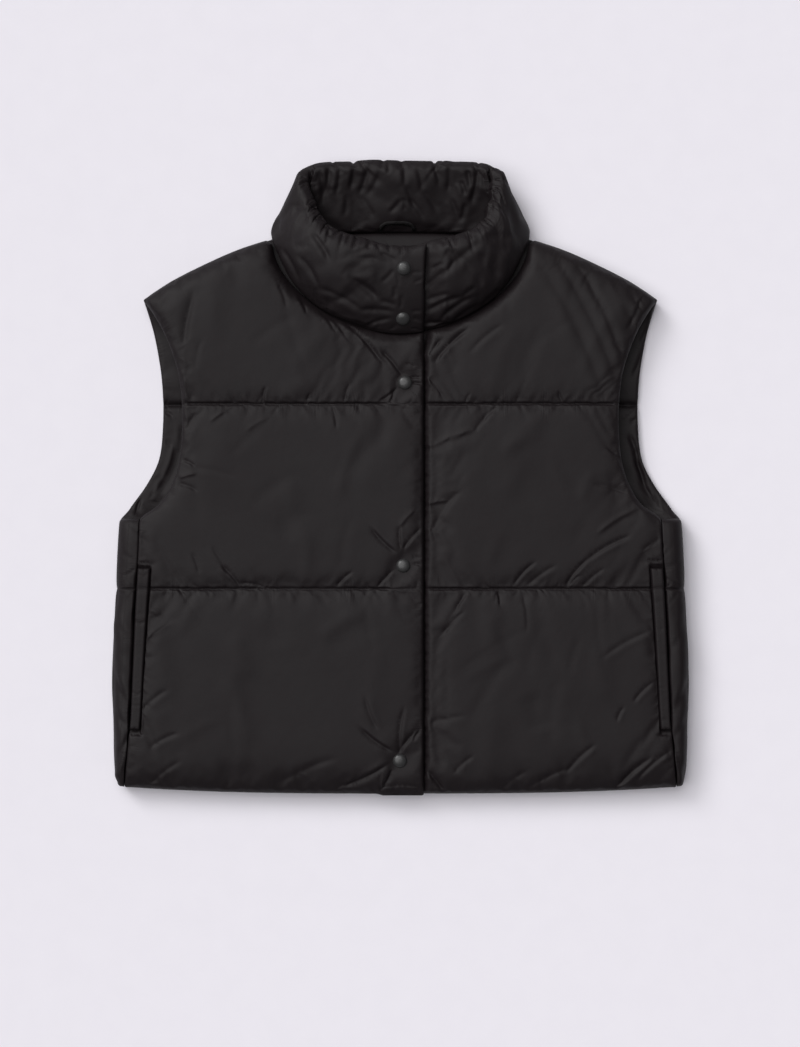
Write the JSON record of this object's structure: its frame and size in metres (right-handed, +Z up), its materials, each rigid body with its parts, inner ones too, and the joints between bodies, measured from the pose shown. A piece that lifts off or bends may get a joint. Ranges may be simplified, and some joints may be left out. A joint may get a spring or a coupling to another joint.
{
  "type": "puffer vest",
  "caption": "Cropped sleeveless padded vest with wide horizontal baffles, high stand collar, snap placket and side pockets, laid flat.",
  "frame": {"origin": "on the surface that the vest lies on, below the middle of its outline", "axes": "+X to the viewer's right with the front up, +Y from the hem to the collar, +Z up from the surface"},
  "size_m": [0.5366, 0.589, 0.0549],
  "materials": {
    "shell": "matte black nylon with a soft sheen",
    "tape": "matte black woven tape",
    "snap": "satin dark grey paint"
  },
  "bodies": {
    "root": {"back_panel": "shell", "front_right": "shell", "front_left": "shell", "collar": "shell", "pocket_welt_right": "shell", "pocket_welt_left": "shell", "hanger_loop": "tape", "snap_1": "snap", "snap_2": "snap", "snap_3": "snap", "snap_4": "snap", "snap_5": "snap"}
  },
  "joints": []
}
